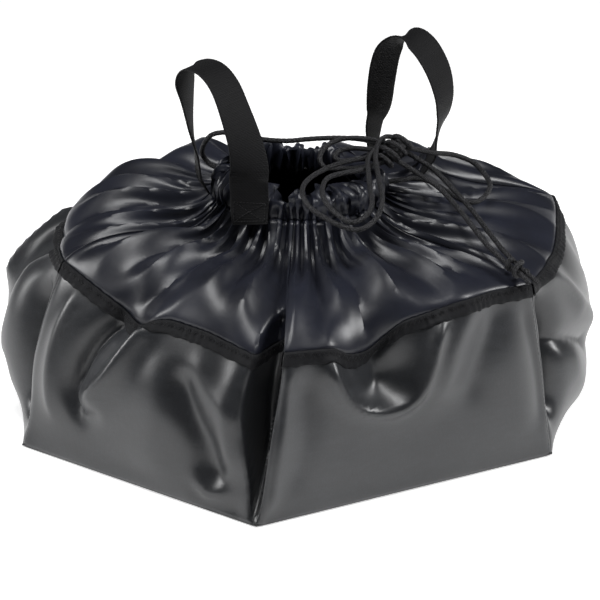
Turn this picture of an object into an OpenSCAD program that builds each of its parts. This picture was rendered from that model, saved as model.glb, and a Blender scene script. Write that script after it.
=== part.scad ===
// Soft hexagonal drawstring bag: flat base, six coated wall panels, six thin
// nylon collar gores gathered into a corded neck, two webbing loop handles.
// Millimetres, +Z up, origin at the middle of the base on the floor.

/* [Panels] */
// Thickness of the coated wall panels
wall_t = 2.0; // [1.6:0.1:2.4]
// Thickness of the gathered nylon collar
collar_t = 1.6; // [1.2:0.1:2.0]
// Thickness of the base panel
base_t = 2.4; // [1.6:0.1:3.0]
// Gap left at each sewn seam
seam_gap = 0.5; // [0.4:0.1:0.8]
// Width of the folded binding tape
tape_w = 12; // [10:1:14]

/* [Neck] */
// Mean radius of the cord channel
neck_r = 76; // [74:1:78]
// Height of the cord channel's middle above the floor
neck_z = 231; // [229:1:233]
// Bore of each eyelet
eyelet_bore = 6.2; // [5.8:0.1:6.4]

/* [Cord] */
// Diameter of the braided cord
cord_d = 5; // [4.6:0.1:5.2]

/* [Handles] */
// Width of the handle webbing
web_w = 38; // [32:1:40]
// Thickness of the handle webbing
web_t = 2.0; // [1.6:0.1:2.4]

/* [Hidden] */

tarp = [0.17, 0.175, 0.19];
nylon = [0.07, 0.075, 0.11];
web_c = [0.05, 0.05, 0.055];
cord_c = [0.08, 0.08, 0.09];
metal_c = [0.12, 0.12, 0.13];

// Corners, counterclockwise from the front one: where the base meets the
// walls, and where the walls meet the collar.
base_c = [[-6, -299, 0], [263, -123, 0], [262, 140, 0],
    [0, 285, 0], [-258, 140, 0], [-251, -150, 0]];
tape_c = [[15, -262, 158], [239, -125, 178], [255, 125, 172],
    [10, 235, 140], [-205, 95, 165], [-212, -113, 180]];
// Outward swell of each panel at mid height and along its top edge, and the
// droop of its top edge
swell = [12, 36, 26, 20, 30, 14];
swell_pow = [0.8, 0.8, 0.8, 0.6, 0.5, 0.8];
top_swell = [8, 12, 12, 14, 16, 10];
droop = [10, 0, 0, 0, 4, 20];
// Outward swell of the sewn corner that each panel starts at
corner_swell = [0, 0, 4, 18, 32, 8];
// Upward puff of each collar gore, at its middle and at its first corner
puff = [6, 3, 24, 14, 8, 8];
corner_puff = [4, 4, 10, 18, 32, 6];
// How far the collar hangs below a straight slope just outside the neck, at each corner
corner_sag = [20, 10, 0, 0, 2, 16];

neck_c = [8, -15];
neck_tilt = -2;
channel_h = 18;
channel_w = 14;

function lerp(a, b, t) = a + (b - a) * t;
function unit(v) = v / norm(v);
function flat(p) = [p[0], p[1], 0];
function out_dir(p) = unit(flat(p));
function edge_n(a, b) = let (d = unit(flat(b - a))) [d[1], -d[0], 0];

// Outer surface of wall i at u along its edge and v up its height
function wall_pt(i, u, v) = let (
        j = (i + 1) % 6,
        b = lerp(base_c[i], base_c[j], u),
        t = lerp(tape_c[i], tape_c[j], u),
        p = lerp(base_c[i], tape_c[i], v),
        q = lerp(base_c[j], tape_c[j], v),
        n = edge_n(p, q),
        m = 4 * u * (1 - u))
    lerp(b, t, v)
    + n * m * (swell[i] * pow(max(0, sin(180 * v)), swell_pow[i]) + top_swell[i] * v)
    + lerp(out_dir(p) * corner_swell[i], out_dir(q) * corner_swell[j], u) * sin(180 * pow(v, 1.25))
    - [0, 0, droop[i] * m * v];

// Points of the neck ring: angle a, radius r, height h above its middle
function ring_pt(a, r, h) = [neck_c[0] + r * cos(a),
    neck_c[1] + r * sin(a) * cos(neck_tilt) - h * sin(neck_tilt),
    neck_z + r * sin(a) * sin(neck_tilt) + h * cos(neck_tilt)];
function ring_dir(a) = unit([cos(a), sin(a) * cos(neck_tilt), sin(a) * sin(neck_tilt)]);
corner_a = [for (c = tape_c) atan2(c[1] - neck_c[1], c[0] - neck_c[0])];
function turn(a, b) = b < a - 180 ? b + 360 : (b > a + 180 ? b - 360 : b);

function collar_pt(i, u, v) = let (
        j = (i + 1) % 6,
        a = lerp(corner_a[i], turn(corner_a[i], corner_a[j]), u),
        w = wall_pt(i, u, 1) + [0, 0, seam_gap],
        r = ring_pt(a, neck_r + channel_w / 2, -channel_h / 2 - 0.6))
    lerp(w, r, v) + [0, 0, (lerp(corner_puff[i], corner_puff[j], u) + puff[i] * 4 * u * (1 - u))
        * sin(180 * pow(v, 0.5)) - lerp(corner_sag[i], corner_sag[j], u) * sin(180 * pow(v, 3))];
function collar_off(i, u, v) = let (p = collar_pt(i, u, v),
        o = unit(flat(p - [neck_c[0], neck_c[1], 0])))
    lerp(o * collar_t, [0, 0, collar_t], min(1, v * 3));

// Closed sheet between two grids of points, rows of nu + 1 points
module sheet_solid(a, b, nu, nv) {
    n = (nu + 1) * (nv + 1);
    function k(v, u) = v * (nu + 1) + u;
    polyhedron(points = concat(a, b), convexity = 8, faces = concat(
        [for (v = [0:nv - 1], u = [0:nu - 1]) each [
            [k(v, u), k(v + 1, u), k(v + 1, u + 1)],
            [k(v, u), k(v + 1, u + 1), k(v, u + 1)],
            [n + k(v, u), n + k(v + 1, u + 1), n + k(v + 1, u)],
            [n + k(v, u), n + k(v, u + 1), n + k(v + 1, u + 1)]]],
        [for (u = [0:nu - 1]) each [
            [k(0, u), k(0, u + 1), n + k(0, u + 1)],
            [k(0, u), n + k(0, u + 1), n + k(0, u)],
            [k(nv, u + 1), k(nv, u), n + k(nv, u)],
            [k(nv, u + 1), n + k(nv, u), n + k(nv, u + 1)]]],
        [for (v = [0:nv - 1]) each [
            [k(v + 1, 0), k(v, 0), n + k(v, 0)],
            [k(v + 1, 0), n + k(v, 0), n + k(v + 1, 0)],
            [k(v, nu), k(v + 1, nu), n + k(v + 1, nu)],
            [k(v, nu), n + k(v + 1, nu), n + k(v, nu)]]]));
}

wall_u = 12;
wall_rows = [0, 0.06, 0.14, 0.25, 0.38, 0.52, 0.66, 0.8, 0.94, 1];
collar_rows = [0, 0.05, 0.12, 0.22, 0.34, 0.48, 0.62, 0.76, 0.88, 1];
function seam_u(k, n) = lerp(0.0024, 0.9976, k / n);

module wall(i) {
    a = [for (v = wall_rows, k = [0:wall_u]) wall_pt(i, seam_u(k, wall_u), v)];
    b = [for (p = a) p - out_dir(p) * wall_t];
    color(tarp) sheet_solid(a, b, wall_u, len(wall_rows) - 1);
}

module collar(i) {
    a = [for (v = collar_rows, k = [0:wall_u]) collar_pt(i, seam_u(k, wall_u), v)];
    b = [for (v = collar_rows, k = [0:wall_u]) collar_pt(i, seam_u(k, wall_u), v)
        - collar_off(i, seam_u(k, wall_u), v)];
    color(nylon) sheet_solid(a, b, wall_u, len(collar_rows) - 1);
}

// Binding folded over the seam, lying on the wall's outside
module tape(i) {
    lo = 0.94;
    function row(v, h, o) = [for (k = [0:wall_u])
        let (p = wall_pt(i, lerp(0.006, 0.994, k / wall_u), v)) p + out_dir(p) * o + [0, 0, h]];
    a = concat(row(lo, 0, 2.0), row(1, 0, 2.0), row(1, 2.2, 1.8));
    b = concat(row(lo, 0, 0.7), row(1, 0, 0.7), row(1, 2.2, 0.7));
    color(web_c) sheet_solid(a, b, wall_u, 2);
}

module at_ring() { translate([neck_c[0], neck_c[1], neck_z]) rotate([neck_tilt, 0, 0]) children(); }

eyelet_a = [155, 10];

// Sewn channel round the neck, with the cord's tunnel inside it
module cord_channel() {
    color(nylon) at_ring() difference() {
        rotate_extrude($fn = 96) difference() {
            translate([neck_r - channel_w / 2, -channel_h / 2]) square([channel_w, channel_h]);
            translate([neck_r, 0]) circle(r = cord_d / 2 + 0.9, $fn = 32);
        }
        for (a = eyelet_a) rotate([0, 0, a]) translate([neck_r, 0, 0])
            rotate([0, 90, 0]) cylinder(r = eyelet_bore / 2 + 1.5, h = channel_w, $fn = 32);
    }
}

// Loose gathered edge above the channel
module neck_ruffle() {
    color(nylon) at_ring() rotate_extrude($fn = 96)
        polygon([[neck_r - 6, channel_h / 2 + 0.3], [neck_r + 3, channel_h / 2 + 0.3],
            [neck_r + 6, channel_h / 2 + 5], [neck_r - 1, channel_h / 2 + 5]]);
}

module eyelet(a) {
    color(metal_c) at_ring() rotate([0, 0, a]) translate([neck_r, 0, 0]) rotate([0, 90, 0])
        rotate_extrude($fn = 48) union() {
            translate([eyelet_bore / 2, 3.8]) square([1.2, channel_w / 2 - 3]);
            translate([eyelet_bore / 2, channel_w / 2 + 0.4]) square([4.6, 1.1]);
        }
}

// The part of the cord that lies inside the channel, round the front
module draw_cord() {
    color(cord_c) at_ring() rotate([0, 0, eyelet_a[0] - 360 + 360])
        rotate_extrude(angle = 360 - eyelet_a[0] + eyelet_a[1], $fn = 96)
            translate([neck_r, 0]) circle(d = cord_d, $fn = 24);
}

// Routes of the loose cord, from the eyelets to the bow and on to the tails
left_route = [[-63.6, 18.4, 229.8], [-71.8, 22.2, 229.7], [-84, 27, 232], [-91, 28, 239], [-92, 20, 250],
    [-87, 16, 262], [-80, 17, 268], [-67, 20, 269], [-49, 20, 266], [-29, 22, 262], [-8, 26, 260],
    [9, 32, 260], [26, 34, 261], [44, 31, 263], [62, 24, 265], [79, 10, 267], [92, -6, 266]];
right_route = [[85.8, -1.3, 230.5], [94.7, 0.3, 230.4], [106, 3, 231], [118, 9, 231], [133, 9, 229],
    [150, -4, 225], [165, -20, 222], [178, -22, 220], [188, -4, 219], [193, 25, 220],
    [187, 48, 223], [174, 64, 230], [155, 56, 240], [135, 27, 252], [121, 10, 261], [108, -4, 268]];
big_outer = [[104, -2, 272], [94, 4, 277], [85, -6, 274], [83, -31, 267], [88, -62, 258],
    [94, -98, 248], [90, -128, 241], [76, -142, 235], [60, -138, 236], [42, -130, 241],
    [26, -121, 249], [18, -98, 255], [23, -71, 258], [42, -44, 261], [66, -31, 264], [92, -16, 264]];
big_inner = [[98, -8, 270], [84, -16, 270], [76, -32, 265], [78, -56, 260], [81, -80, 254],
    [85, -108, 247], [80, -128, 243], [68, -138, 240], [53, -129, 245], [42, -118, 252],
    [37, -97, 257], [40, -76, 260], [52, -61, 260], [70, -50, 260], [90, -22, 260]];
small_outer = [[98, -4, 270], [78, 1, 273], [58, 7, 272], [42, 6, 269], [31, -6, 265],
    [28, -21, 258], [35, -25, 251], [50, -21, 250], [68, -22, 252], [90, -18, 257]];
small_inner = [[96, -6, 268], [79, -5, 265], [60, 0, 264], [46, -3, 262], [39, -11, 258],
    [46, -14, 255], [64, -12, 257], [90, -14, 260]];
tail_1 = [[104, -6, 268], [122, -10, 259], [139, -14, 249], [158, -34, 238], [178, -62, 227],
    [194, -86, 216], [207, -107, 208], [222, -126, 200]];
tail_2 = [[98, -18, 262], [112, -26, 257], [128, -32, 249], [148, -45, 240], [170, -76, 228],
    [183, -95, 219], [197, -112, 209], [216, -127, 198]];

knot_a = [86, -24, 257];
knot_b = [114, -2, 279];
end_a = [215, -122, 202];
end_b = [231, -135, 192];

// Smooth curve through a list of points: m points on each span
function cr(p0, p1, p2, p3, t) = 0.5 * (2 * p1 + (p2 - p0) * t
    + (2 * p0 - 5 * p1 + 4 * p2 - p3) * t * t + (3 * p1 - p0 - 3 * p2 + p3) * t * t * t);
function smooth(p, m) = let (n = len(p)) concat(
    [for (i = [0:n - 2], k = [0:m - 1]) cr(p[max(0, i - 1)], p[i], p[i + 1], p[min(n - 1, i + 2)], k / m)],
    [p[n - 1]]);

function side_of(t) = unit(cross(abs(t[2]) < 0.9 ? [0, 0, 1] : [1, 0, 0], t));

// Round tube along points, one ring at each
module tube(p, r, n = 8) {
    m = len(p);
    tans = [for (i = [0:m - 1]) unit(p[min(m - 1, i + 1)] - p[max(0, i - 1)])];
    s0 = side_of(tans[0]);
    // side vectors carried along so that the tube does not twist
    sides = [for (i = 0, s = s0; i < m; i = i + 1,
        s = i < m ? unit(s - tans[i] * (s * tans[i])) : s) s];
    pts = [for (i = [0:m - 1], k = [0:n - 1])
        let (b = cross(tans[i], sides[i])) p[i] + r * (sides[i] * cos(360 * k / n) + b * sin(360 * k / n))];
    polyhedron(points = pts, convexity = 6, faces = concat(
        [for (i = [0:m - 2], k = [0:n - 1]) let (q = (k + 1) % n) each [
            [i * n + k, (i + 1) * n + k, (i + 1) * n + q],
            [i * n + k, (i + 1) * n + q, i * n + q]]],
        [[for (k = [0:n - 1]) k]],
        [[for (k = [n - 1:-1:0]) (m - 1) * n + k]]));
}

module cord_left_run() { color(cord_c) tube(left_route, cord_d / 2); }
module cord_right_run() { color(cord_c) tube(right_route, cord_d / 2); }
module bow_loops() {
    color(cord_c) {
        tube(big_outer, cord_d / 2);
        tube(big_inner, cord_d / 2);
        tube(small_outer, cord_d / 2);
        tube(small_inner, cord_d / 2);
    }
}
module cord_tails() {
    color(cord_c) {
        tube(tail_1, cord_d / 2);
        tube(tail_2, cord_d / 2);
    }
}

// Turns of cord wound round the doubled strands, from a to b
module wraps(a, b, turns, r) {
    d = b - a;
    l = norm(d);
    p = l / turns;
    translate(a) rotate([0, acos(d[2] / l), atan2(d[1], d[0])]) rotate_extrude($fn = 40) union() {
        translate([0, 1]) square([r - p / 2, l - 2]);
        for (k = [0:turns - 1]) translate([r - p / 2, p * (k + 0.5)]) circle(r = p / 2 + 0.15, $fn = 24);
    }
}
module bow_knot() { color(cord_c) wraps(knot_a, knot_b, 5, 11); }
module end_knot() { color(cord_c) wraps(end_a, end_b, 3, 9); }

// Webbing: points, and at each the plan angle of the webbing's width
hl_path = [[-33, -98, 264], [-32, -99, 275], [-35, -97, 296], [-45, -94, 328], [-56, -87, 353],
    [-70, -77, 366], [-86, -65, 366], [-96, -55, 354], [-97, -41, 330], [-96, -31, 298],
    [-94, -27, 277], [-92, -25, 264]];
hl_turn = [-3, 18, 38, 50, 55, 58, 62, 72, 80, 91, 99, 103];
hr_path = [[75, 78, 264], [79, 80, 279], [81, 79, 304], [85, 77, 331], [92, 75, 348],
    [107, 75, 356], [123, 73, 347], [137, 70, 325], [144, 68, 301], [144, 65, 281],
    [140, 63, 264]];
hr_turn = [65, 53, 47, 45, 44, 48, 53, 57, 64, 72, 84];
// The fixed ends, sewn down the outside of the channel
hl_foot_a = [[-31, -103, 221], [-32, -102, 229], [-32, -100, 238], [-32, -99, 244]];
hl_foot_b = [[-85, -22, 227], [-87, -23, 232], [-89, -24, 239], [-90, -25, 244]];
hr_foot_a = [[72, 76, 222], [73, 77, 230], [74, 78, 238], [74, 78, 243]];
hr_foot_b = [[120, 61, 221], [127, 62, 229], [133, 63, 236], [136, 63, 242]];

module strap(p, ang) {
    m = len(p);
    tans = [for (i = [0:m - 1]) unit(p[min(m - 1, i + 1)] - p[max(0, i - 1)])];
    wid = [for (i = [0:m - 1]) let (w = [cos(ang[i]), sin(ang[i]), 0]) unit(w - tans[i] * (w * tans[i]))];
    pts = [for (i = [0:m - 1]) let (n = cross(tans[i], wid[i]) * web_t / 2, w = wid[i] * web_w / 2)
        each [p[i] - w - n, p[i] + w - n, p[i] + w + n, p[i] - w + n]];
    polyhedron(points = pts, convexity = 6, faces = concat(
        [for (i = [0:m - 2], k = [0:3]) let (q = (k + 1) % 4) each [
            [i * 4 + k, (i + 1) * 4 + k, (i + 1) * 4 + q],
            [i * 4 + k, (i + 1) * 4 + q, i * 4 + q]]],
        [[0, 1, 2, 3]], [[(m - 1) * 4 + 3, (m - 1) * 4 + 2, (m - 1) * 4 + 1, (m - 1) * 4]]));
}
function fine(a, m) = [for (i = [0:len(a) - 2], k = [0:m - 1]) lerp(a[i], a[i + 1], k / m)];
function fine_all(a, m) = concat(fine(a, m), [a[len(a) - 1]]);
module loop_strap(p, ang) { strap(smooth(p, 3), fine_all(ang, 3)); }

module handle_left_loop() { color(web_c) loop_strap(hl_path, hl_turn); }
module handle_right_loop() { color(web_c) loop_strap(hr_path, hr_turn); }
module handle_left_ends() {
    color(web_c) {
        strap(hl_foot_a, [-18, -12, -8, -6]);
        strap(hl_foot_b, [112, 110, 107, 105]);
    }
}
module handle_right_ends() {
    color(web_c) {
        strap(hr_foot_a, [96, 88, 80, 76]);
        strap(hr_foot_b, [104, 102, 98, 96]);
    }
}

module base_panel() {
    color(tarp) linear_extrude(height = base_t)
        polygon([for (p = base_c) let (q = p - out_dir(p) * (wall_t + 1.8)) [q[0], q[1]]]);
}
module wall_front_right() { wall(0); }
module wall_right() { wall(1); }
module wall_rear_right() { wall(2); }
module wall_rear_left() { wall(3); }
module wall_left() { wall(4); }
module wall_front_left() { wall(5); }
module collar_front_right() { collar(0); }
module collar_right() { collar(1); }
module collar_rear_right() { collar(2); }
module collar_rear_left() { collar(3); }
module collar_left() { collar(4); }
module collar_front_left() { collar(5); }
module tape_front_right() { tape(0); }
module tape_right() { tape(1); }
module tape_rear_right() { tape(2); }
module tape_rear_left() { tape(3); }
module tape_left() { tape(4); }
module tape_front_left() { tape(5); }
module eyelet_left() { eyelet(eyelet_a[0]); }
module eyelet_right() { eyelet(eyelet_a[1]); }

base_panel();
wall_front_right();
wall_right();
wall_rear_right();
wall_rear_left();
wall_left();
wall_front_left();
collar_front_right();
collar_right();
collar_rear_right();
collar_rear_left();
collar_left();
collar_front_left();
tape_front_right();
tape_right();
tape_rear_right();
tape_rear_left();
tape_left();
tape_front_left();
cord_channel();
neck_ruffle();
eyelet_left();
eyelet_right();
draw_cord();
cord_left_run();
cord_right_run();
bow_loops();
cord_tails();
bow_knot();
end_knot();
handle_left_ends();
handle_left_loop();
handle_right_ends();
handle_right_loop();
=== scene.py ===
"""Soft hexagonal drawstring bag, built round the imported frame. Metres, +Z up."""
import math

import bpy
import numpy as np
from mathutils import Matrix, Vector


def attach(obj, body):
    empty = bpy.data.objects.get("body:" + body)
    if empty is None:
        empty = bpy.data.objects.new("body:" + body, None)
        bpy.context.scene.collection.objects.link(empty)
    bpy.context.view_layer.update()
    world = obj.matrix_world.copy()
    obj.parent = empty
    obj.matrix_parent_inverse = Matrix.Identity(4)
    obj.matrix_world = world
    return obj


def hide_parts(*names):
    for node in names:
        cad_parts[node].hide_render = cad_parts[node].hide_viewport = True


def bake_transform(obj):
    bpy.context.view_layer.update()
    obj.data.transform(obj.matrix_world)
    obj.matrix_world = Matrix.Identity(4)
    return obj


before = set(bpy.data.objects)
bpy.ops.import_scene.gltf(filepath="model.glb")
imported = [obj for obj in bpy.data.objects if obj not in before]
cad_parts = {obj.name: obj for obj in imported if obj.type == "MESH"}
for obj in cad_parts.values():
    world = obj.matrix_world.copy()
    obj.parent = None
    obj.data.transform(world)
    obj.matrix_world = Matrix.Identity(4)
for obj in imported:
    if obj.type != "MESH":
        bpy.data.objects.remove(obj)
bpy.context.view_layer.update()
MM = 0.001


# ---------------------------------------------------------------- helpers
def unit(a):
    return a / np.maximum(np.linalg.norm(a, axis=-1, keepdims=True), 1e-9)


def smoothstep(x, a=0.0, b=1.0):
    t = np.clip((x - a) / (b - a), 0.0, 1.0)
    return t * t * (3 - 2 * t)


def mesh_object(name, verts, faces, mat=None, smooth=True, uv=None):
    """verts in millimetres; uv maps each vertex index to a (u, v) pair"""
    me = bpy.data.meshes.new(name)
    verts = np.asarray(verts, float) * MM
    faces = np.asarray(faces, int) if not isinstance(faces, list) else faces
    me.from_pydata(verts.tolist(), [], [list(f) for f in faces])
    if uv is not None:
        lay = me.uv_layers.new(name="weave")
        idx = np.empty(len(me.loops), int)
        me.loops.foreach_get("vertex_index", idx)
        lay.data.foreach_set("uv", np.asarray(uv, float)[idx].ravel())
    if smooth:
        me.polygons.foreach_set("use_smooth", [True] * len(me.polygons))
    me.validate()
    me.update()
    ob = bpy.data.objects.new(name, me)
    bpy.context.scene.collection.objects.link(ob)
    if mat is not None:
        me.materials.append(mat)
    return ob


def thicken(ob, t, offset=-1.0):
    m = ob.modifiers.new("thickness", "SOLIDIFY")
    m.thickness = t * MM
    m.offset = offset
    m.use_even_offset = False
    return ob


def grid_faces(nr, nc, closed=False, flip=False, base=0):
    f = []
    cols = nc if closed else nc - 1
    r, c = np.meshgrid(np.arange(nr - 1), np.arange(cols), indexing="ij")
    c2 = (c + 1) % nc
    a, b, d, e = r * nc + c, r * nc + c2, (r + 1) * nc + c2, (r + 1) * nc + c
    q = np.stack([a, b, d, e] if not flip else [a, e, d, b], -1).reshape(-1, 4)
    return q + base


def catmull(p, m):
    p = np.asarray(p, float)
    n = len(p)
    out = []
    for i in range(n - 1):
        p0, p1, p2, p3 = p[max(0, i - 1)], p[i], p[i + 1], p[min(n - 1, i + 2)]
        for k in range(m):
            t = k / m
            out.append(0.5 * (2 * p1 + (p2 - p0) * t + (2 * p0 - 5 * p1 + 4 * p2 - p3) * t * t
                              + (3 * p1 - p0 - 3 * p2 + p3) * t ** 3))
    out.append(p[-1])
    return np.array(out)


def respace(p, step):
    p = np.asarray(p, float)
    s = np.concatenate([[0], np.cumsum(np.linalg.norm(np.diff(p, axis=0), axis=1))])
    n = max(2, int(round(s[-1] / step)) + 1)
    t = np.linspace(0, s[-1], n)
    return np.stack([np.interp(t, s, p[:, k]) for k in range(3)], -1)


def frames_along(p):
    """Tangents, and side vectors carried along without twist"""
    t = unit(np.gradient(p, axis=0))
    s = np.zeros_like(p)
    a = np.cross([0, 0, 1.0] if abs(t[0][2]) < 0.9 else [1.0, 0, 0], t[0])
    s[0] = a / np.linalg.norm(a)
    for i in range(1, len(p)):
        v = s[i - 1] - t[i] * (s[i - 1] @ t[i])
        s[i] = v / np.linalg.norm(v)
    return t, s


# ---------------------------------------------------------------- camera
def make_camera():
    az, el, dist = math.radians(5.2), math.radians(23.0), 2.8
    target = Vector((0.007, 0.0, 0.101))
    back = Vector((math.sin(az) * math.cos(el), -math.cos(az) * math.cos(el), math.sin(el)))
    right = Vector((math.cos(az), math.sin(az), 0.0))
    up = back.cross(right)
    cam = bpy.data.cameras.new("view")
    cam.lens = 168.0
    cam.sensor_width = 36.0
    cam.clip_end = 30.0
    ob = bpy.data.objects.new("view", cam)
    m = Matrix((right, up, back)).transposed().to_4x4()
    m.translation = target + back * dist
    ob.matrix_world = m
    bpy.context.scene.collection.objects.link(ob)
    bpy.context.scene.camera = ob


make_camera()
# ---------------------------------------------------------------- materials
class Mat:
    """A small builder for one node material"""

    def __init__(self, name, color, rough, slot=None):
        self.m = bpy.data.materials.new(name)
        self.m.use_nodes = True
        self.t = self.m.node_tree
        self.b = self.t.nodes["Principled BSDF"]
        self.b.inputs["Base Color"].default_value = (*color, 1)
        self.b.inputs["Roughness"].default_value = rough
        self.coord = self.t.nodes.new("ShaderNodeTexCoord")
        self.height = None

    def n(self, kind, **props):
        x = self.t.nodes.new(kind)
        for k, v in props.items():
            if k.startswith("in_"):
                key = k[3:]
                x.inputs[int(key) if key.isdigit() else key].default_value = v
            else:
                setattr(x, k, v)
        return x

    def link(self, a, b):
        self.t.links.new(a, b)

    def math(self, op, a, b=None, c=None):
        x = self.n("ShaderNodeMath", operation=op)
        for i, v in enumerate((a, b, c)):
            if v is None:
                continue
            if hasattr(v, "is_linked"):
                self.link(v, x.inputs[i])
            else:
                x.inputs[i].default_value = v
        return x.outputs[0]

    def place(self, scale=(1, 1, 1), rot=(0, 0, 0), source="Object"):
        mp = self.n("ShaderNodeMapping")
        mp.inputs["Scale"].default_value = scale
        mp.inputs["Rotation"].default_value = rot
        self.link(self.coord.outputs[source], mp.inputs["Vector"])
        return mp.outputs[0]

    def uv(self, scale=(1, 1, 1)):
        u = self.n("ShaderNodeUVMap", uv_map="weave")
        mp = self.n("ShaderNodeMapping")
        mp.inputs["Scale"].default_value = scale
        self.link(u.outputs[0], mp.inputs["Vector"])
        return mp.outputs[0]

    def noise(self, vec, scale, detail=4.0, rough=0.5, distortion=0.0):
        x = self.n("ShaderNodeTexNoise")
        x.inputs["Scale"].default_value = scale
        x.inputs["Detail"].default_value = detail
        x.inputs["Roughness"].default_value = rough
        x.inputs["Distortion"].default_value = distortion
        self.link(vec, x.inputs["Vector"])
        return x.outputs["Fac"]

    def wave(self, vec, scale, direction="X", profile="SIN", distortion=0.0):
        x = self.n("ShaderNodeTexWave", wave_type="BANDS", bands_direction=direction, wave_profile=profile)
        x.inputs["Scale"].default_value = scale
        x.inputs["Distortion"].default_value = distortion
        self.link(vec, x.inputs["Vector"])
        return x.outputs["Fac"]

    def ramp(self, fac, stops):
        x = self.n("ShaderNodeValToRGB")
        e = x.color_ramp.elements
        while len(e) < len(stops):
            e.new(0.5)
        for k, (pos, col) in enumerate(stops):
            e[k].position = pos
            e[k].color = (*col, 1)
        self.link(fac, x.inputs[0])
        return x.outputs[0]

    def span(self, fac, lo, hi):
        x = self.n("ShaderNodeMapRange")
        x.inputs["To Min"].default_value = lo
        x.inputs["To Max"].default_value = hi
        self.link(fac, x.inputs[0])
        return x.outputs[0]

    def bump(self, height, distance, strength=1.0):
        x = self.n("ShaderNodeBump")
        x.inputs["Distance"].default_value = distance
        x.inputs["Strength"].default_value = strength
        self.link(height, x.inputs["Height"])
        if self.height is not None:
            self.link(self.height, x.inputs["Normal"])
        self.height = x.outputs[0]
        self.link(self.height, self.b.inputs["Normal"])

    def set(self, name, value):
        s = self.b.inputs[name]
        if hasattr(value, "is_linked"):
            self.link(value, s)
        else:
            s.default_value = value
        return self


def grey(v, tint=(1, 1, 1)):
    return tuple(v * t for t in tint)


def tarp_material():
    m = Mat("coated_tarpaulin", (0.05, 0.053, 0.058), 0.38)
    v = m.place()
    cloud = m.noise(v, 9, 3, 0.5)
    fine = m.noise(v, 900, 2, 0.6)
    scuff = m.noise(m.place((1, 1, 3.0)), 55, 6, 0.65, 0.4)
    mixed = m.math("ADD", m.math("MULTIPLY", cloud, 0.55), m.math("MULTIPLY", scuff, 0.45))
    mixed = m.math("ADD", m.math("MULTIPLY", mixed, 0.6), m.math("MULTIPLY", fine, 0.4))
    m.set("Base Color", m.ramp(mixed, [(0.36, (0.008, 0.0086, 0.0102)), (0.52, (0.015, 0.0162, 0.0188)),
                                       (0.68, (0.028, 0.0302, 0.0345))]))
    m.set("Roughness", m.span(m.math("ADD", m.math("MULTIPLY", scuff, 0.6), m.math("MULTIPLY", fine, 0.4)),
                              0.30, 0.44))
    weft = m.wave(m.place((1, 1, 1)), 330, "Z")
    warp = m.wave(m.place((1, 1, 0)), 330, "DIAGONAL")
    m.bump(m.math("MULTIPLY", m.math("ADD", weft, warp), 0.5), 0.00006, 0.55)
    m.bump(m.noise(v, 48, 4, 0.55), 0.0007, 0.30)
    m.bump(fine, 0.00014, 0.6)
    m.set("Specular IOR Level", 0.62)
    m.set("Coat Weight", 0.12)
    m.set("Coat Roughness", 0.28)
    m.set("Sheen Weight", 0.05)
    m.set("Sheen Roughness", 0.4)
    return m.m


def nylon_material():
    m = Mat("nylon", (0.012, 0.0125, 0.017), 0.3)
    v = m.place()
    cloud = m.noise(v, 14, 3, 0.5)
    m.set("Base Color", m.ramp(cloud, [(0.3, (0.0075, 0.0082, 0.0125)), (0.7, (0.0145, 0.0162, 0.0255))]))
    crinkle = m.noise(m.place((1, 1, 1)), 62, 5, 0.62, 0.8)
    m.set("Roughness", m.span(crinkle, 0.29, 0.43))
    rip = m.n("ShaderNodeTexVoronoi", feature="DISTANCE_TO_EDGE")
    rip.inputs["Scale"].default_value = 42.0
    m.link(v, rip.inputs["Vector"])
    m.bump(m.math("MINIMUM", rip.outputs["Distance"], 0.25), 0.0010, 0.10)
    m.bump(crinkle, 0.0008, 0.16)
    weft = m.wave(m.place((1, 1, 1)), 420, "DIAGONAL")
    m.bump(weft, 0.00003, 0.4)
    m.set("Specular IOR Level", 0.44)
    m.set("Coat Weight", 0.03)
    m.set("Coat Roughness", 0.2)
    return m.m


def tape_material():
    m = Mat("binding_tape", (0.02, 0.021, 0.024), 0.62)
    rib = m.wave(m.uv((1, 1, 1)), 1.0, "X")
    rib = m.wave(m.uv((1000, 1000, 1)), 0.55, "X")
    v = m.place()
    lint = m.noise(v, 700, 2, 0.6)
    m.set("Base Color", m.ramp(m.math("ADD", m.math("MULTIPLY", rib, 0.5), m.math("MULTIPLY", lint, 0.5)),
                               [(0.25, (0.003, 0.0031, 0.0038)), (0.75, (0.011, 0.0115, 0.0135))]))
    m.bump(rib, 0.00025, 0.6)
    m.bump(m.noise(v, 160, 3, 0.5), 0.0005, 0.35)
    m.set("Specular IOR Level", 0.18)
    m.set("Sheen Weight", 0.01)
    m.set("Sheen Roughness", 0.35)
    return m.m


def webbing_material():
    m = Mat("webbing", (0.012, 0.012, 0.013), 0.58)
    rib = m.wave(m.uv((1000, 1000, 1)), 0.29, "Y")
    twill = m.wave(m.uv((1000, 1000, 1)), 0.20, "DIAGONAL", "SAW")
    v = m.place()
    lint = m.noise(v, 900, 2, 0.7)
    both = m.math("ADD", m.math("MULTIPLY", rib, 0.45), m.math("MULTIPLY", twill, 0.3))
    both = m.math("ADD", both, m.math("MULTIPLY", lint, 0.25))
    m.set("Base Color", m.ramp(both, [(0.3, (0.0008, 0.0008, 0.001)), (0.55, (0.004, 0.004, 0.0045)), (0.75, (0.016, 0.016, 0.0175))]))
    m.set("Roughness", m.span(lint, 0.48, 0.68))
    m.bump(both, 0.0004, 0.7)
    m.set("Specular IOR Level", 0.13)
    m.set("Sheen Weight", 0.012)
    m.set("Sheen Roughness", 0.4)
    return m.m


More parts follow.
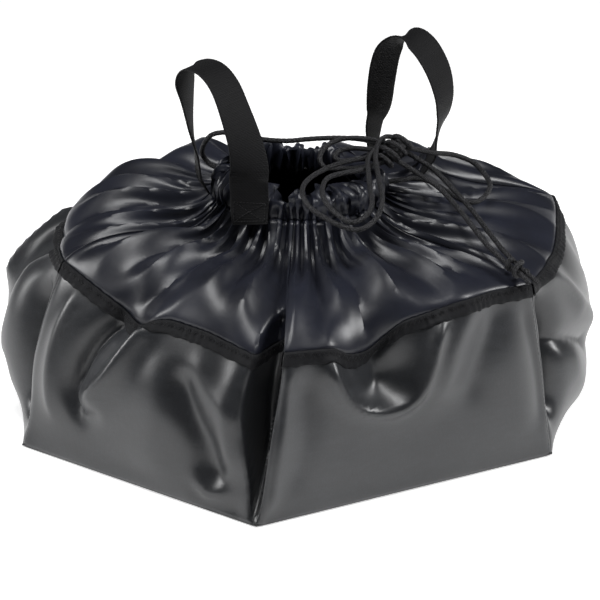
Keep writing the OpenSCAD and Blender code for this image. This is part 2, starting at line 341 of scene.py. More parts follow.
def cord_material():
    m = Mat("braided_cord", (0.02, 0.02, 0.023), 0.5)
    # u runs round the cord, v along it, both in millimetres
    a = m.wave(m.uv((1, 1, 1)), 1.0, "X")
    plus = m.wave(m.uv((2.4, 1.0, 1)), 0.16, "DIAGONAL")
    minus = m.wave(m.uv((-2.4, 1.0, 1)), 0.16, "DIAGONAL")
    braid = m.math("MAXIMUM", plus, minus)
    fleck = m.noise(m.uv((0.9, 0.45, 1)), 1.0, 2, 0.6)
    m.set("Base Color", m.ramp(m.math("ADD", m.math("MULTIPLY", braid, 0.5), m.math("MULTIPLY", fleck, 0.5)),
                               [(0.42, (0.0008, 0.0008, 0.001)), (0.66, (0.003, 0.003, 0.0036)),
                                (0.76, (0.07, 0.07, 0.075))]))
    m.bump(braid, 0.0005, 0.8)
    m.set("Specular IOR Level", 0.16)
    m.set("Sheen Weight", 0.02)
    m.set("Sheen Roughness", 0.35)
    return m.m


def metal_material():
    m = Mat("blackened_metal", (0.018, 0.018, 0.02), 0.3)
    v = m.place()
    wear = m.noise(v, 420, 5, 0.6)
    m.set("Base Color", m.ramp(wear, [(0.4, (0.014, 0.014, 0.016)), (0.72, (0.11, 0.11, 0.115))]))
    m.set("Metallic", 0.85)
    m.set("Roughness", m.span(wear, 0.22, 0.45))
    m.bump(m.noise(v, 900, 2, 0.5), 0.00005, 0.5)
    return m.m


def thread_material():
    m = Mat("sewing_thread", (0.02, 0.02, 0.022), 0.5)
    v = m.place()
    m.set("Base Color", m.ramp(m.noise(v, 1200, 2, 0.5), [(0.3, (0.005, 0.005, 0.006)), (0.7, (0.02, 0.02, 0.022))]))
    m.bump(m.noise(v, 1500, 1, 0.5), 0.0001, 0.6)
    m.set("Specular IOR Level", 0.2)
    m.set("Sheen Weight", 0.05)
    return m.m


M_TARP, M_NYLON, M_TAPE, M_WEB = tarp_material(), nylon_material(), tape_material(), webbing_material()
M_CORD, M_METAL, M_THREAD = cord_material(), metal_material(), thread_material()
# ---------------------------------------------------------------- cords
CORD_D = 5.0
left_route = [[-63.6, 18.4, 229.8], [-71.8, 22.2, 229.7], [-84, 27, 232], [-91, 28, 239], [-92, 20, 250],
    [-87, 16, 262], [-80, 17, 268], [-67, 20, 269], [-49, 20, 266], [-29, 22, 262], [-8, 26, 260],
    [9, 32, 260], [26, 34, 261], [44, 31, 263], [62, 24, 265], [79, 10, 267], [92, -6, 266]]
right_route = [[85.8, -1.3, 230.5], [94.7, 0.3, 230.4], [106, 3, 231], [118, 9, 231], [133, 9, 229],
    [150, -4, 225], [165, -20, 222], [178, -22, 220], [188, -4, 219], [193, 25, 220],
    [187, 48, 223], [174, 64, 230], [155, 56, 240], [135, 27, 252], [121, 10, 261], [108, -4, 268]]
big_outer = [[104, -2, 272], [94, 4, 277], [85, -6, 274], [83, -31, 267], [88, -62, 258],
    [94, -98, 248], [90, -128, 241], [76, -142, 235], [60, -138, 236], [42, -130, 241],
    [26, -121, 249], [18, -98, 255], [23, -71, 258], [42, -44, 261], [66, -31, 264], [92, -16, 264]]
big_inner = [[98, -8, 270], [84, -16, 270], [76, -32, 265], [78, -56, 260], [81, -80, 254],
    [85, -108, 247], [80, -128, 243], [68, -138, 240], [53, -129, 245], [42, -118, 252],
    [37, -97, 257], [40, -76, 260], [52, -61, 260], [70, -50, 260], [90, -22, 260]]
small_outer = [[98, -4, 270], [78, 1, 273], [58, 7, 272], [42, 6, 269], [31, -6, 265],
    [28, -21, 258], [35, -25, 251], [50, -21, 250], [68, -22, 252], [90, -18, 257]]
small_inner = [[96, -6, 268], [79, -5, 265], [60, 0, 264], [46, -3, 262], [39, -11, 258],
    [46, -14, 255], [64, -12, 257], [90, -14, 260]]
tail_1 = [[104, -6, 268], [122, -10, 259], [139, -14, 249], [158, -34, 238], [178, -62, 227],
    [194, -86, 216], [207, -107, 208], [222, -126, 200]]
tail_2 = [[98, -18, 262], [112, -26, 257], [128, -32, 249], [148, -45, 240], [170, -76, 228],
    [183, -95, 219], [197, -112, 209], [216, -127, 198]]
knot_a, knot_b = np.array([86, -24, 257.0]), np.array([114, -2, 279.0])
end_a, end_b = np.array([215, -122, 202.0]), np.array([231, -135, 192.0])


def joined(*routes, reach=58.0):
    """One smooth line through the routes, turning round inside the knot between them"""
    out = catmull(routes[0], 8)
    for r in routes[1:]:
        nxt = catmull(r, 8)
        p0, p1 = out[-1], nxt[0]
        t0, t1 = unit(out[-1] - out[-2]), unit(nxt[1] - nxt[0])
        s = np.linspace(0, 1, 26)[1:-1, None]
        h = ((2 * s ** 3 - 3 * s ** 2 + 1) * p0 + (s ** 3 - 2 * s ** 2 + s) * t0 * reach
             + (-2 * s ** 3 + 3 * s ** 2) * p1 + (s ** 3 - s ** 2) * t1 * reach)
        out = np.concatenate([out, h, nxt])
    line = respace(out, 2.0)
    for _ in range(500):
        # open up any bend tighter than about two diameters, over a span of five points
        a, b, c = line[:-10], line[5:-5], line[10:]
        bend = np.linalg.norm(a + c - 2 * b, axis=1)
        tight = np.clip((bend - 9.0) / 6.0, 0, 1)
        w = np.zeros(len(line))
        w[5:-5] = tight
        w = np.convolve(w, np.ones(9) / 9, "same")
        w[:2] = w[-2:] = 0
        mid = line.copy()
        mid[1:-1] = 0.5 * (line[:-2] + line[2:])
        line += (mid - line) * np.clip(w * 2, 0, 0.6)[:, None]
    return respace(line, 2.0)


def tube_mesh(name, line, radius=CORD_D / 2, sides=20, step=0.95, taper=True, braid=0.17):
    c = respace(catmull(respace(line, 4.0), 6), step)
    t, s = frames_along(c)
    b = np.cross(t, s)
    along = np.concatenate([[0], np.cumsum(np.linalg.norm(np.diff(c, axis=0), axis=1))])
    th = np.linspace(0, 2 * np.pi, sides, endpoint=False)
    A, T = np.meshgrid(along, th, indexing="ij")
    k = 2 * np.pi / 5.6
    p1, p2 = 3 * T + k * A, 3 * T - k * A
    weave = np.maximum(np.cos(p1) * (np.sin(p2) > 0), np.cos(p2) * (np.sin(p2) <= 0))
    r = radius - braid * 0.6 + braid * weave
    if taper:
        edge = np.minimum(A, along[-1] - A)
        r = r * np.sqrt(np.clip(1 - (1 - np.clip(edge / 2.2, 0, 1)) ** 2, 0.02, 1))
    v = c[:, None] + r[..., None] * (s[:, None] * np.cos(T)[..., None] + b[:, None] * np.sin(T)[..., None])
    n = len(c)
    faces = [tuple(f) for f in grid_faces(n, sides, closed=True, flip=True)]
    faces.append(tuple(range(sides)))
    faces.append(tuple(range((n - 1) * sides, n * sides))[::-1])
    uv = np.stack([T * radius, A], -1).reshape(-1, 2)
    ob = mesh_object(name, v.reshape(-1, 3), faces, M_CORD, uv=uv)
    return ob, c


def wound(name, a, b, turns, r, squash=0.9, phase=0.0, swell=0.12):
    """Cord wound round the doubled strands of a knot"""
    d = b - a
    l = np.linalg.norm(d)
    d = d / l
    x = unit(np.cross([0, 0, 1.0], d))
    y = np.cross(d, x)
    q = np.linspace(0, 1, 26 * turns)
    ang = 2 * np.pi * turns * q + phase
    rr = r * (1 + swell * np.sin(np.pi * q))
    line = (a + np.outer(0.07 * l + 0.86 * l * q, d)
            + (rr * np.cos(ang))[:, None] * x + (rr * squash * np.sin(ang))[:, None] * y)
    # both ends run in towards the middle of the knot
    tuck0 = a + d * l * 0.16 + x * r * 0.15
    tuck1 = a + d * l * 0.84 - x * r * 0.15
    line = np.concatenate([[tuck0], line[4:-4], [tuck1]])
    ob, _ = tube_mesh(name, line)
    return ob


axis_e = unit(end_b - end_a)
tail_1e = tail_1 + [(end_b + axis_e * 2 + np.array([1.5, 2.5, 1.0])).tolist(),
                    (end_b + axis_e * 10 + np.array([5.0, 5.5, -2.5])).tolist()]
tail_2e = tail_2 + [(end_b + axis_e * 1 - np.array([1.5, 2.5, 0.5])).tolist(),
                    (end_b + axis_e * 8 + np.array([-1.0, -5.0, -1.5])).tolist()]
line_a = joined(left_route, small_outer, big_outer, tail_1e)
line_b = joined(right_route, small_inner, big_inner, tail_2e)
cord_a, path_a = tube_mesh("cord_left_strand", line_a)
cord_b, path_b = tube_mesh("cord_right_strand", line_b)
bow_turns = wound("bow_knot_turns", knot_a, knot_b, 4, 9.4, 0.92, 0.6)
end_turns = wound("end_knot_turns", end_a, end_b, 2, 6.2, 0.92, 1.1)
CORD_PATHS = [path_a, path_b]
for o in (cord_a, cord_b, bow_turns, end_turns):
    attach(o, "root")
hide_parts("cord_left_run", "bow_loops", "cord_tails")
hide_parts("cord_right_run")
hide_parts("bow_knot")
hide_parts("end_knot")
# ---------------------------------------------------------------- cloth shape
# Corners, counterclockwise from the front one, and how each panel swells
base_c = np.array([[-6, -299, 0], [263, -123, 0], [262, 140, 0], [0, 285, 0], [-258, 140, 0], [-251, -150, 0]], float)
tape_c = np.array([[15, -262, 158], [239, -125, 178], [255, 125, 172], [10, 235, 140], [-205, 95, 165],
                   [-212, -113, 180]], float)
swell, swell_pow = [12, 36, 26, 20, 30, 14], [0.8, 0.8, 0.8, 0.6, 0.5, 0.8]
top_swell, corner_swell = [8, 12, 12, 14, 16, 10], [0, 0, 4, 18, 32, 8]
puff, corner_puff = [6, 3, 24, 14, 8, 8], [4, 4, 10, 18, 32, 6]
corner_sag = [20, 10, 0, 0, 2, 16]
neck_c, neck_tilt, neck_z, neck_r = np.array([8.0, -15.0]), math.radians(-2.0), 231.0, 76.0
EYELETS = [155.0, 10.0]

NU = 80        # columns on each panel
NW, NG = 36, 56  # rows of wall and of collar
NOUT, NRUF, NFOLD, NIN = 7, 5, 3, 5
COLS = NU * 6
R_TAPE, R_NECK = NW, NW + NG
R_CH = R_NECK + NOUT
R_TOP = R_CH + NRUF
ROWS = R_TOP + NFOLD + NIN + 1
rng = np.random.default_rng(20)


def edge_u(n):
    s = np.arange(n) / n
    return 0.5 * s + 0.5 * (0.5 - 0.5 * np.cos(np.pi * s))


U1 = edge_u(NU)
PANEL = np.repeat(np.arange(6), NU)
UC = np.tile(U1, 6)

# Drop of the bound edge along each panel: (u, millimetres)
TOP_DROP = {
    0: [(0, 0), (0.1, -3), (0.19, -6), (0.25, -17), (0.32, -19), (0.37, -11), (0.46, 2), (0.66, 7), (0.83, 6), (1, 0)],
    5: [(0, 0), (0.14, -7), (0.29, -16), (0.39, -27), (0.46, -19), (0.54, -7), (0.7, -5), (0.85, -10), (0.95, -13),
        (1, -1)],
    1: [(0, 0), (0.2, 4), (0.35, -3), (0.6, 3), (0.8, -2), (1, 0)],
    2: [(0, 0), (0.2, -4), (0.45, 2), (0.7, -6), (1, 0)],
    3: [(0, 0), (0.25, 3), (0.5, -5), (0.75, 2), (1, 0)],
    4: [(0, 0), (0.2, -5), (0.42, -1), (0.66, -7), (0.85, 0), (1, 0)],
}
top_dz = np.concatenate([np.interp(U1, *zip(*TOP_DROP[i])) for i in range(6)])
top_dz = (np.roll(top_dz, 1) + 2 * top_dz + np.roll(top_dz, -1)) / 4


def wall_pts(v):
    """Whole ring of columns at heights v, shape (rows, columns, 3)"""
    v = np.asarray(v, float)[:, None, None]
    i, j = PANEL, (PANEL + 1) % 6
    u = UC[None, :, None]
    b = base_c[i] + (base_c[j] - base_c[i]) * UC[:, None]
    t = tape_c[i] + (tape_c[j] - tape_c[i]) * UC[:, None]
    flat = np.array([1.0, 1.0, 0.0])
    p = (base_c[i] + (tape_c[i] - base_c[i]) * v)
    q = (base_c[j] + (tape_c[j] - base_c[j]) * v)
    d = unit((q - p) * flat)
    n = np.stack([d[..., 1], -d[..., 0], 0 * d[..., 0]], -1)
    m = 4 * u * (1 - u)
    sw, tp = np.array(swell, float)[i][None, :, None], np.array(top_swell, float)[i][None, :, None]
    pw = np.array(swell_pow)[i][None, :, None]
    cs = np.array(corner_swell, float)
    o = (unit(p * flat) * cs[i][None, :, None] * (1 - u) + unit(q * flat) * cs[j][None, :, None] * u)
    out = b + (t - b) * v + n * m * (sw * np.maximum(0, np.sin(np.pi * v)) ** pw + tp * v)
    out = out + o * np.sin(np.pi * v ** 1.25)
    out[..., 2] += top_dz[None] * v[..., 0] ** 3
    return out


def ring_pts(ang, r, h):
    c, s = math.cos(neck_tilt), math.sin(neck_tilt)
    return np.stack([neck_c[0] + r * np.cos(ang), neck_c[1] + r * np.sin(ang) * c - h * s,
                     neck_z + r * np.sin(ang) * s + h * c], -1)


corner_ang = np.unwrap(np.arctan2(tape_c[:, 1] - neck_c[1], tape_c[:, 0] - neck_c[0]))
corner_ang = np.append(corner_ang, corner_ang[0] + 2 * np.pi)
ANG = corner_ang[PANEL] + (corner_ang[PANEL + 1] - corner_ang[PANEL]) * UC
# the neck gathers evenly, so columns crowd towards even steps there
EVEN = np.interp(np.arange(COLS), [0, COLS], [corner_ang[0], corner_ang[0] + 2 * np.pi])


def collar_pts(v):
    v = np.asarray(v, float)[:, None, None]
    i, j = PANEL, (PANEL + 1) % 6
    u = UC[None, :, None]
    w = wall_pts([1.0])[0][None]
    base = w.copy()
    base[..., 2] -= top_dz[None]
    r = ring_pts(0.5 * ANG + 0.5 * EVEN, neck_r + 7.0, -9.6)[None]
    pf, cp = np.array(puff, float), np.array(corner_puff, float)
    up = (cp[i][None, :, None] * (1 - u) + cp[j][None, :, None] * u + pf[i][None, :, None] * 4 * u * (1 - u))
    sg = np.array(corner_sag, float)
    sag = sg[i][None, :, None] * (1 - u) + sg[j][None, :, None] * u
    out = base + (r - base) * v
    out[..., 2:] += up * np.sin(np.pi * v ** 0.5) - sag * np.sin(np.pi * v ** 3)
    out[..., 2] += top_dz[None] * (1 - v[..., 0]) ** 4
    return out


wall_v = np.linspace(0, 1, NW + 1)
collar_v = np.linspace(0, 1, NG + 1)[1:]
AN = 0.5 * ANG + 0.5 * EVEN
rough_top = np.interp(np.arange(COLS + 1), np.arange(0, COLS + 1, 12), np.append(rng.normal(0, 1, 40), 0))[:COLS]
lump = lambda a0, w: np.exp(-((np.angle(np.exp(1j * (AN - math.radians(a0))))) / math.radians(w)) ** 2)
ruffle_h = 15.0 + 3.0 * rough_top + 10 * lump(122, 26) + 7 * lump(165, 18) + 8 * lump(212, 16) + 6 * lump(243, 10) + 5 * lump(60, 14) - 2 * lump(285, 26)
lean_in = 9.0 + 0.30 * (ruffle_h - 14) + 9 * lump(30, 30) + 7 * lump(310, 24) + 5 * lump(150, 26)
rows = [wall_pts(wall_v), collar_pts(collar_v)]
for k in range(1, NOUT + 1):
    rows.append(ring_pts(AN, neck_r + 7.0 + 0.6 * math.sin(math.pi * k / NOUT), -9.6 + 18.6 * k / NOUT)[None])
for k in range(1, NRUF + 1):
    q = k / NRUF
    rows.append(ring_pts(AN, neck_r + 6.0 - 2.0 * q - lean_in * q ** 1.5, 9 + (ruffle_h - 9) * q)[None])
for k in range(1, NFOLD + 1):
    q = k / NFOLD
    rows.append(ring_pts(AN, neck_r + 3.5 - 6.5 * q - lean_in, ruffle_h - 2.2 * q)[None])
for k in range(1, NIN + 1):
    q = k / NIN
    rows.append(ring_pts(AN, neck_r - 3.5 - 3.5 * q - lean_in * (1 - q), (ruffle_h - 2.2) * (1 - q) - 9.0 * q)[None])
MACRO = np.concatenate(rows)
assert MACRO.shape[0] == ROWS


def normals_of(P):
    a = np.roll(P, -1, 1) - np.roll(P, 1, 1)
    b = np.gradient(P, axis=0)
    return unit(np.cross(a, b))


NRM = normals_of(MACRO)
WID = [265, 252, 272, 260, 230, 282]
HGT = [165, 188, 176, 176, 198, 172]


def creases(i, pts, w, h, taper=0.12):
    """A rounded ridge (h > 0) or valley along a line on wall panel i, in millimetres"""
    u, v = UC[PANEL == i], wall_v
    X, Y = np.meshgrid(u * WID[i], v * HGT[i])
    q = np.array(pts, float) * [WID[i], HGT[i]]
    q = respace(np.c_[catmull(np.c_[q, 0 * q[:, :1]], 8)], 2.0)[:, :2]
    s = np.linspace(0, 1, len(q))
    fall = smoothstep(s / taper) * smoothstep((1 - s) / taper)
    d2 = (X[..., None] - q[:, 0]) ** 2 + (Y[..., None] - q[:, 1]) ** 2
    return h * (np.exp(-((d2 + 2.0) / w ** 2) ** 0.75) * fall).max(-1)


WALL_LINES = [
    # front left
    (5, [(0.50, 1.0), (0.45, 0.86), (0.39, 0.62), (0.30, 0.40)], 11, 15),
    (5, [(0.34, 1.0), (0.29, 0.87), (0.235, 0.66), (0.215, 0.45)], 10, -15),
    (5, [(0.195, 0.46), (0.22, 0.36), (0.28, 0.30), (0.34, 0.37)], 7, -7),
    (5, [(0.25, 0.48), (0.27, 0.41), (0.31, 0.38)], 7, 6),
    (5, [(0.14, 0.95), (0.12, 0.6), (0.13, 0.3)], 26, 5),
    (5, [(0.58, 0.75), (0.60, 0.5), (0.57, 0.25)], 34, 6),
    (5, [(0.70, 0.85), (0.78, 0.72), (0.90, 0.60)], 15, 6),
    (5, [(0.64, 0.74), (0.73, 0.54), (0.80, 0.38), (0.84, 0.16)], 12, -10),
    (5, [(0.86, 0.95), (0.85, 0.6), (0.88, 0.3)], 17, 9),
    (5, [(0.76, 0.18), (0.80, 0.13), (0.86, 0.16)], 9, 4),
    (5, [(0.74, 0.12), (0.80, 0.06), (0.93, 0.05)], 7, -5),
    # front right
    (0, [(0.165, 1.0), (0.19, 0.83), (0.25, 0.68), (0.33, 0.585), (0.42, 0.55), (0.49, 0.60), (0.535, 0.74),
         (0.57, 0.88), (0.64, 1.0)], 7, 12),
    (0, [(0.36, 1.0), (0.37, 0.86), (0.40, 0.72)], 26, -19),
    (0, [(0.58, 0.60), (0.63, 0.78), (0.72, 0.97)], 18, 11),
    (0, [(0.70, 0.52), (0.76, 0.72), (0.84, 0.92)], 18, -8),
    (0, [(0.025, 0.97), (0.028, 0.5), (0.03, 0.05)], 9, 9),
    (0, [(0.10, 0.85), (0.12, 0.5), (0.10, 0.2)], 14, -4),
    (0, [(0.86, 0.9), (0.88, 0.5), (0.9, 0.2)], 30, 4),
    (0, [(0.22, 0.42), (0.42, 0.34), (0.62, 0.40)], 26, -4),
    (0, [(0.95, 0.9), (0.97, 0.5), (0.97, 0.2)], 9, -4),
    # right
    (1, [(0.02, 0.66), (0.14, 0.61), (0.30, 0.52), (0.48, 0.38), (0.66, 0.30)], 12, -6),
    (1, [(0.10, 1.0), (0.26, 0.86), (0.38, 0.66), (0.5, 0.5)], 12, 7),
    (1, [(0.05, 0.9), (0.08, 0.75), (0.06, 0.5), (0.05, 0.2)], 10, -12),
    (1, [(0.2, 0.42), (0.34, 0.2), (0.4, 0.06)], 22, 7),
    (1, [(0.66, 0.9), (0.72, 0.6), (0.7, 0.3)], 20, -3),
    (1, [(0.84, 0.95), (0.86, 0.5), (0.9, 0.2)], 16, 3),
    # rear right
    (2, [(0.2, 1.0), (0.26, 0.7), (0.22, 0.4)], 14, -9), (2, [(0.38, 0.95), (0.42, 0.6), (0.5, 0.3)], 16, 9),
    (2, [(0.66, 1.0), (0.62, 0.75), (0.68, 0.45)], 13, -10), (2, [(0.84, 0.9), (0.82, 0.5), (0.88, 0.2)], 16, 8),
    # rear left
    (3, [(0.15, 1.0), (0.2, 0.6), (0.16, 0.25)], 15, 8), (3, [(0.34, 1.0), (0.37, 0.7), (0.45, 0.5)], 14, -10),
    (3, [(0.55, 0.95), (0.6, 0.55), (0.55, 0.25)], 18, 9), (3, [(0.8, 1.0), (0.76, 0.7), (0.8, 0.35)], 14, -9),
    # left
    (4, [(0.90, 0.85), (0.925, 0.5), (0.94, 0.15)], 12, -17), (4, [(0.55, 0.68), (0.3, 0.78), (0.05, 0.92)], 11, 13),
    (4, [(0.62, 1.0), (0.66, 0.8), (0.7, 0.55)], 14, -8), (4, [(0.76, 0.9), (0.78, 0.5), (0.76, 0.15)], 20, 7),
    (4, [(0.3, 0.55), (0.34, 0.3), (0.3, 0.1)], 18, -6),
]
bumps = np.zeros((ROWS, COLS))
for i, pts, w, h in WALL_LINES:
    cols = np.where(PANEL == i)[0]
    add = creases(i, pts, w, h)
    # corners stay where they are sewn
    keep = smoothstep(UC[cols] / 0.025) * smoothstep((1 - UC[cols]) / 0.025)
    bumps[:NW + 1, cols] += add * keep[None] * smoothstep(wall_v / 0.06)[:, None]


def soft_noise(shape, cr, cc, seed):
    """Smooth noise, about cr rows and cc columns to a lump, closed round the columns"""
    g = np.random.default_rng(seed).normal(0, 1, shape)
    f = np.fft.rfft(g, axis=1)
    k = np.arange(f.shape[1])
    g = np.fft.irfft(f * np.exp(-(k * cc / shape[1]) ** 2 * 3), shape[1], axis=1)
    n = shape[0]
    x = np.arange(n)
    ker = np.exp(-((x[:, None] - x[None]) / cr) ** 2)
    g = (ker / ker.sum(1, keepdims=True)) @ g
    return g / g.std()


bumps[:NW + 1] += 1.6 * soft_noise((NW + 1, COLS), 6, 26, 3) * smoothstep(wall_v / 0.1)[:, None]

# Pleats of the collar: many at the neck, few of which reach the bound edge
G = np.arange(NG + NOUT + NRUF + NFOLD + NIN) + 1
vg = np.minimum(G / NG, 1.0)
NPL = 58
col = np.arange(COLS)
pleats = np.zeros((len(G), COLS))
for j in range(NPL):
    c0 = (j + 0.5 + rng.uniform(-0.28, 0.28)) * COLS / NPL
    kind = rng.uniform()
    stop = rng.uniform(-0.15, 0.1) if kind < 0.46 else (rng.uniform(0.2, 0.42) if kind < 0.72 else rng.uniform(0.5, 0.72))
    if stop < 0.2:
        amp, grow = rng.uniform(8.0, 14.0), rng.uniform(3, 8)
    elif stop < 0.52:
        amp, grow = rng.uniform(5, 9), rng.uniform(3, 6)
    else:
        amp, grow = rng.uniform(3.0, 4.5), rng.uniform(3, 5)
    drift = rng.uniform(-14, 14)
    w = 2.5 + grow * (1 - vg) ** 1.2
    c = c0 + drift * (1 - vg) ** 1.3
    d = (col[None] - c[:, None] + COLS / 2) % COLS - COLS / 2
    up = smoothstep((vg - stop) / 0.22) * (0.50 + 0.50 * np.sin(np.pi * np.clip(vg, 0, 1) ** 1.1))
    pleats += (amp * up)[:, None] * np.exp(-(np.abs(d) / w[:, None]) ** 1.25)
pleats -= np.exp(-0) * pleats.mean(1, keepdims=True)
bumps[NW + 1:] += pleats
INITIAL = MACRO + NRM * bumps[..., None]
# ---------------------------------------------------------------- straps' own shape
WEB_W, WEB_T = 38.0, 1.9
hl_path = [[-33, -98, 264], [-32, -99, 275], [-35, -97, 296], [-45, -94, 328], [-56, -87, 353],
    [-70, -77, 366], [-86, -65, 366], [-96, -55, 354], [-97, -41, 330], [-96, -31, 298],
    [-94, -27, 277], [-92, -25, 264]]
hl_turn = [-3, 18, 38, 50, 55, 58, 62, 72, 80, 91, 99, 103]
hr_path = [[75, 78, 264], [79, 80, 279], [81, 79, 304], [85, 77, 331], [92, 75, 348],
    [107, 75, 356], [123, 73, 347], [137, 70, 325], [144, 68, 301], [144, 65, 281],
    [140, 63, 264]]
hr_turn = [65, 53, 47, 45, 44, 48, 53, 57, 64, 72, 84]
hl_foot_a, hl_a_turn = [[-31, -103, 221], [-32, -102, 229], [-32, -100, 238], [-32, -99, 244]], [-18, -12, -8, -6]
hl_foot_b, hl_b_turn = [[-85, -22, 227], [-87, -23, 232], [-89, -24, 239], [-90, -25, 244]], [112, 110, 107, 105]
hr_foot_a, hr_a_turn = [[72, 76, 222], [73, 77, 230], [74, 78, 238], [74, 78, 243]], [96, 88, 80, 76]
hr_foot_b, hr_b_turn = [[120, 61, 221], [127, 62, 229], [133, 63, 236], [136, 63, 242]], [104, 102, 98, 96]


def strap_line(fa, ta, path, turn, fb, tb, tilt=None):
    p = np.array(fa + path + fb[::-1], float)
    a = np.array(ta + turn + tb[::-1], float)
    e = np.array([0] * len(fa) + (tilt or [0] * len(path)) + [0] * len(fb), float)
    fine = catmull(np.c_[p, a, e], 10)
    pts, ang, lean = fine[:, :3], fine[:, 3], fine[:, 4]
    s = np.concatenate([[0], np.cumsum(np.linalg.norm(np.diff(pts, axis=0), axis=1))])
    n = int(round(s[-1] / 0.42)) + 1
    t = np.linspace(0, s[-1], n)
    pts = np.stack([np.interp(t, s, pts[:, k]) for k in range(3)], -1)
    ang = np.radians(np.interp(t, s, ang))
    lean = np.radians(np.interp(t, s, lean))
    for _ in range(60):
        pts[1:-1] = 0.5 * pts[1:-1] + 0.25 * (pts[:-2] + pts[2:])
        ang[1:-1] = 0.5 * ang[1:-1] + 0.25 * (ang[:-2] + ang[2:])
    tan = unit(np.gradient(pts, axis=0))
    w = np.stack([np.cos(ang), np.sin(ang), 0 * ang], -1)
    w = unit(w - tan * (w * tan).sum(-1, keepdims=True))
    w = unit(w * np.cos(lean)[:, None] + np.cross(tan, w) * np.sin(lean)[:, None])
    return pts, tan, w, unit(np.cross(tan, w)), t


STRAPS = {"left": strap_line(hl_foot_a, hl_a_turn, hl_path, hl_turn, hl_foot_b, hl_b_turn),
          "right": strap_line(hr_foot_a, hr_a_turn, hr_path, hr_turn, hr_foot_b, hr_b_turn)}


# ---------------------------------------------------------------- cloth relaxation
def slack_of():
    s = np.ones(ROWS)
    s[:NW + 1] = 1.004
    v = vg
    s[NW + 1:] = np.interp(v, [0, 0.1, 0.25, 0.5, 0.75, 0.9, 1.0], [1.02, 1.09, 1.15, 1.28, 1.55, 1.85, 2.1])
    s[R_TOP + 1:] *= 0.95
    return s


SLACK = slack_of()
RESTH = np.linalg.norm(np.roll(MACRO, -1, 1) - MACRO, axis=-1) * SLACK[:, None]
RESTV = np.linalg.norm(MACRO[1:] - MACRO[:-1], axis=-1) * np.where(np.arange(ROWS - 1) < NW, 1.004, 0.995)[:, None]
D1 = 0.5 * (np.linalg.norm(np.roll(MACRO, -1, 1)[1:] - MACRO[:-1], axis=-1) + 0)
DIAG = np.sqrt(0.5 * (RESTH[1:] ** 2 + RESTH[:-1] ** 2) + RESTV ** 2)
PIN = np.zeros((ROWS, COLS))      # how firmly a point is held where the plain shape has it
PIN[0] = 1.0
PIN[1:NW + 1] = 0.10
PIN[R_TAPE] = 0.30
PIN[1:R_TAPE + 1, ::NU] = 0.5
CORNER = np.zeros((ROWS, COLS))


def relax(P, rounds, wall_target):
    P = P.copy()
    inv = np.ones((ROWS, COLS, 1))
    inv[0] = 0.0
    freq = np.arange(COLS // 2 + 1)
    keep = np.exp(-(freq / 5.0) ** 4)
    # bending, as a limit on how fine the folds may be: coarse by the binding, fine at the neck
    limit = np.full(ROWS, 110.0)
    limit[NW + 1:] = np.interp(vg, [0, 0.12, 0.25, 0.5, 0.75, 0.9, 1.0], [50, 60, 74, 92, 112, 124, 135])
    stiff = np.where(np.arange(ROWS) <= NW, 0.02, 0.12)
    damp = 1.0 / (1.0 + stiff[:, None] * (freq[None] / limit[:, None]) ** 4)
    straight = np.full((ROWS, 1, 1), 0.02)
    straight[0] = 0
    straight[NW + 1:R_NECK, 0, 0] = 0.30 - 0.16 * vg[:NG - 1]
    for it in range(rounds):
        D = P - MACRO
        F = np.fft.rfft(D, axis=1) * damp[..., None]
        if it % 4 == 3:
            # the large shape stays where it is
            F[NW + 1:] *= (1 - 0.4 * keep)[None, :, None]
        P = MACRO + np.fft.irfft(F, COLS, axis=1)
        P[0] = MACRO[0]
        lap = np.zeros_like(P)
        lap[1:-1] = 0.5 * (P[2:] + P[:-2]) - P[1:-1]
        bi = np.zeros_like(P)
        bi[2:-2] = 0.5 * (lap[3:-1] + lap[1:-3]) - lap[2:-2]
        P -= bi * 0.25 * inv
        P += lap * straight
        # stretch across, odd and even columns
        for k in (0, 1):
            a, b = P[:, k::2], np.roll(P, -1, 1)[:, k::2]
            rest = RESTH[:, k::2]
            d = b - a
            l = np.linalg.norm(d, axis=-1)
            f = (0.5 * (l - rest) / np.maximum(l, 1e-6))[..., None] * d * inv[:, :1]
            P[:, k::2] += f
            if k == 0:
                P[:, 1::2] -= f
            else:
                P[:, 0::2] -= np.roll(f, 1, 1)
        # stretch up
        for k in (0, 1):
            a, b = P[k:-1:2], P[k + 1::2]
            n = min(len(a), len(b))
            d = b[:n] - a[:n]
            l = np.linalg.norm(d, axis=-1)
            rest = RESTV[k::2][:n]
            wa, wb = inv[k:-1:2][:n], inv[k + 1::2][:n]
            f = ((l - rest) / np.maximum(l, 1e-6))[..., None] * d / (wa + wb)
            P[k:-1:2][:n] += f * wa
            P[k + 1::2][:n] -= f * wb
        # shear, softly
        for sgn in (1, -1):
            q = np.roll(P, -sgn, 1)
            d = q[1:] - P[:-1]
            l = np.linalg.norm(d, axis=-1)
            f = (0.12 * (l - DIAG) / np.maximum(l, 1e-6))[..., None] * d
            P[:-1] += f * inv[:-1]
            P[1:] -= np.roll(f, sgn, 1) * inv[1:]
        P[:NW + 1] += (wall_target[:NW + 1] - P[:NW + 1]) * PIN[:NW + 1, :, None]
        if it % 10 == 9 or it > rounds - 3:
            P = push_off(P)
    return P


# where straps and cords press the cloth down
FEET = []
for side, (pts, tan, wid, nor, t) in STRAPS.items():
    for part in (pts[:, 2] < 262,):
        idx = np.where(part)[0]
        for k in idx[::6]:
            n = nor[k].copy()
            out = pts[k] - np.array([neck_c[0], neck_c[1], pts[k][2]])
            if n @ out < 0:
                n = -n
            FEET.append((pts[k], n, wid[k], tan[k]))
CORD_PTS = np.concatenate([respace(p, 2.5) for p in CORD_PATHS])
CORD_PTS = CORD_PTS[CORD_PTS[:, 2] < 262]


